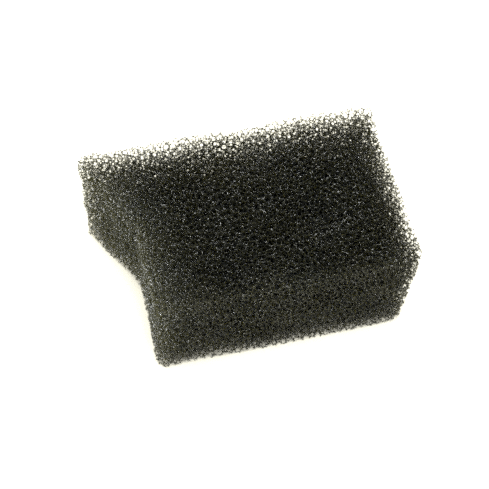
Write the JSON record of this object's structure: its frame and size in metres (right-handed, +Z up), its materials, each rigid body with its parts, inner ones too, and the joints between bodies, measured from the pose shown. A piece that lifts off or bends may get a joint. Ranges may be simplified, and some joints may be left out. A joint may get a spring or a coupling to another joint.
{
  "type": "foam air filter element",
  "caption": "Block of open-cell foam that filters a small engine's intake air, with a square end and a slanted, set-back end.",
  "frame": {"origin": "centre of the bounding box's underside, on the surface the block lies on", "axes": "+X along the long back face, away from the slanted end; +Y from the front face to the back face; +Z up through the block's thickness"},
  "size_m": [0.07, 0.0428, 0.031],
  "materials": {
    "foam": "matt charcoal polyurethane foam, dry, open cells with faintly shiny strands"
  },
  "bodies": {
    "root": {"foam_element": "foam"}
  },
  "joints": []
}
